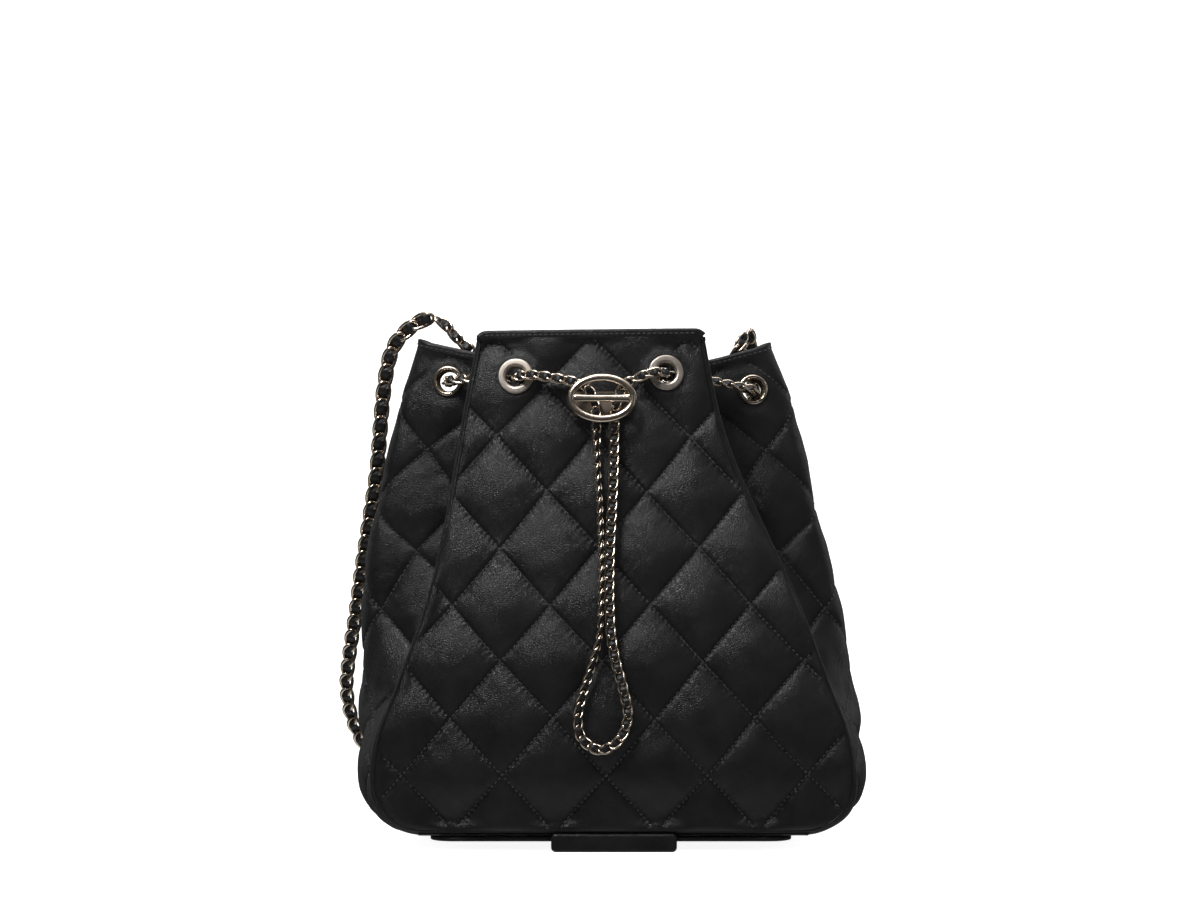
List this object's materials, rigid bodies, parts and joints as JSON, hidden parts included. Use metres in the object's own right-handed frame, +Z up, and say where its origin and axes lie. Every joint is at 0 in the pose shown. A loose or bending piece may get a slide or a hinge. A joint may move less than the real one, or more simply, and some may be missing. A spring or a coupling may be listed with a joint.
{
  "type": "bucket bag",
  "caption": "Quilted leather bucket bag with pleated sides, a chain drawstring closing through eyelets with a slider, and a chain shoulder strap laced with leather.",
  "frame": {"origin": "on the standing surface, at the middle of the base foot", "axes": "+Z up, +X to the bag's left as worn in front view right, -Y is the front with the slider"},
  "size_m": [0.277, 0.1951, 0.2735],
  "materials": {
    "quilted_leather": "black lambskin, fine grain, soft sheen, padded and quilted",
    "plain_leather": "black lambskin, smooth",
    "stiff_board": "pressed fibre board",
    "lining_textile": "dark woven lining",
    "zip_tape": "woven nylon tape",
    "polished_gold": "pale gold plating, polished",
    "satin_gold": "pale gold plating, satin",
    "laced_chain": "pale gold curb chain interlaced with black leather"
  },
  "bodies": {
    "bag_body": {"front_panel": "quilted_leather", "back_panel": "quilted_leather", "gusset_left": "quilted_leather", "gusset_right": "quilted_leather", "base_panel": "quilted_leather", "piping_front": "plain_leather", "piping_back": "plain_leather", "binding_front": "plain_leather", "binding_back": "plain_leather", "binding_left": "plain_leather", "binding_right": "plain_leather", "base_pad": "plain_leather", "base_foot": "plain_leather", "base_board": "stiff_board", "lining": "lining_textile", "slip_pocket": "lining_textile", "zip_welt": "plain_leather", "zip_tape": "zip_tape", "zip_teeth": "polished_gold", "front_fold_eyelet_left": "polished_gold", "back_fold_eyelet_left": "polished_gold", "front_wing_eyelet_left": "polished_gold", "back_wing_eyelet_left": "polished_gold", "front_eyelet_left": "satin_gold", "back_eyelet_left": "satin_gold", "front_fold_eyelet_right": "polished_gold", "back_fold_eyelet_right": "polished_gold", "front_wing_eyelet_right": "polished_gold", "back_wing_eyelet_right": "polished_gold", "front_eyelet_right": "satin_gold", "back_eyelet_right": "satin_gold", "front_fold_eyelet_left_washer": "satin_gold", "back_fold_eyelet_left_washer": "satin_gold", "front_wing_eyelet_left_washer": "satin_gold", "back_wing_eyelet_left_washer": "satin_gold", "front_eyelet_left_washer": "satin_gold", "back_eyelet_left_washer": "satin_gold", "front_fold_eyelet_right_washer": "satin_gold", "back_fold_eyelet_right_washer": "satin_gold", "front_wing_eyelet_right_washer": "satin_gold", "back_wing_eyelet_right_washer": "satin_gold", "front_eyelet_right_washer": "satin_gold", "back_eyelet_right_washer": "satin_gold", "drawstring_mouth": "laced_chain", "strap_ring_left": "polished_gold", "strap_ring_right": "polished_gold", "strap_tab_left": "plain_leather", "strap_tab_right": "plain_leather", "strap_root_left": "laced_chain", "strap_root_right": "laced_chain"},
    "pull_loop": {"drawstring_pull": "laced_chain"},
    "slider": {"slider_frame": "polished_gold", "slider_plate": "polished_gold", "slider_rivet_left": "polished_gold", "slider_rivet_right": "polished_gold"},
    "strap": {"strap_chain": "laced_chain"},
    "zip_slider_body": {"zip_slider": "polished_gold"},
    "zip_pull_body": {"zip_pull": "polished_gold"}
  },
  "joints": [
    {"name": "pull_loop_swing", "type": "hinge", "parent": "bag_body", "child": "pull_loop", "pos_m": [-0.00397, -0.04883, 0.23424], "axis": [-1, 0, 0], "range_deg": [0, 80]},
    {"name": "slider_slide", "type": "slide", "parent": "pull_loop", "child": "slider", "axis": [0, -0.1804, -0.9836], "range_m": [0, 0.09]},
    {"name": "strap_swing", "type": "hinge", "parent": "bag_body", "child": "strap", "pos_m": [-0.0895, 0.0035, 0.2692], "axis": [0.9984, 0.0192, -0.054], "range_deg": [0, 130]},
    {"name": "zip_slide", "type": "slide", "parent": "bag_body", "child": "zip_slider_body", "axis": [1, 0, 0], "range_m": [0, 0.088]},
    {"name": "zip_pull_swing", "type": "hinge", "parent": "zip_slider_body", "child": "zip_pull_body", "pos_m": [-0.0462, 0.04, 0.169], "axis": [-1, 0, 0], "range_deg": [0, 95]}
  ]
}
